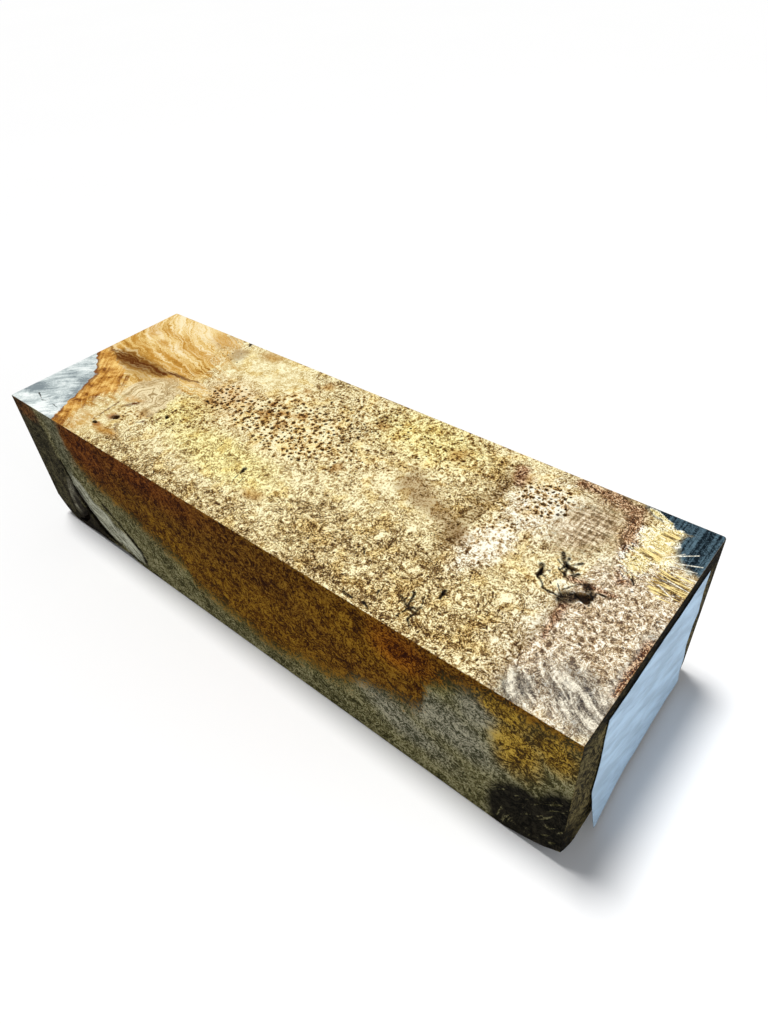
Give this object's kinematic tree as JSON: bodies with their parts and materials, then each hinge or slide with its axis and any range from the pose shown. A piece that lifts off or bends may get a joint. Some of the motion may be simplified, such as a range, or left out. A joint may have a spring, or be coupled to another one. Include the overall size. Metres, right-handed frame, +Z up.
{
  "type": "amboyna burl turning blank",
  "caption": "Sawn rectangular block of burl wood with natural wane at its lower corners, bark-lined cracks, open pores, and a bare paper label on one end.",
  "frame": {"origin": "middle of the block's sawn underside, on the surface that it rests on", "axes": "+X along the block towards the end with the paper label, +Z up out of the figured top, and the front with the cracks faces -Y"},
  "size_m": [0.3038, 0.0988, 0.0736],
  "materials": {
    "burl_wood": "rough sawn, unfinished",
    "label_paper": "matte paper"
  },
  "bodies": {
    "root": {"burl_block": "burl_wood", "paper_label": "label_paper"}
  },
  "joints": []
}
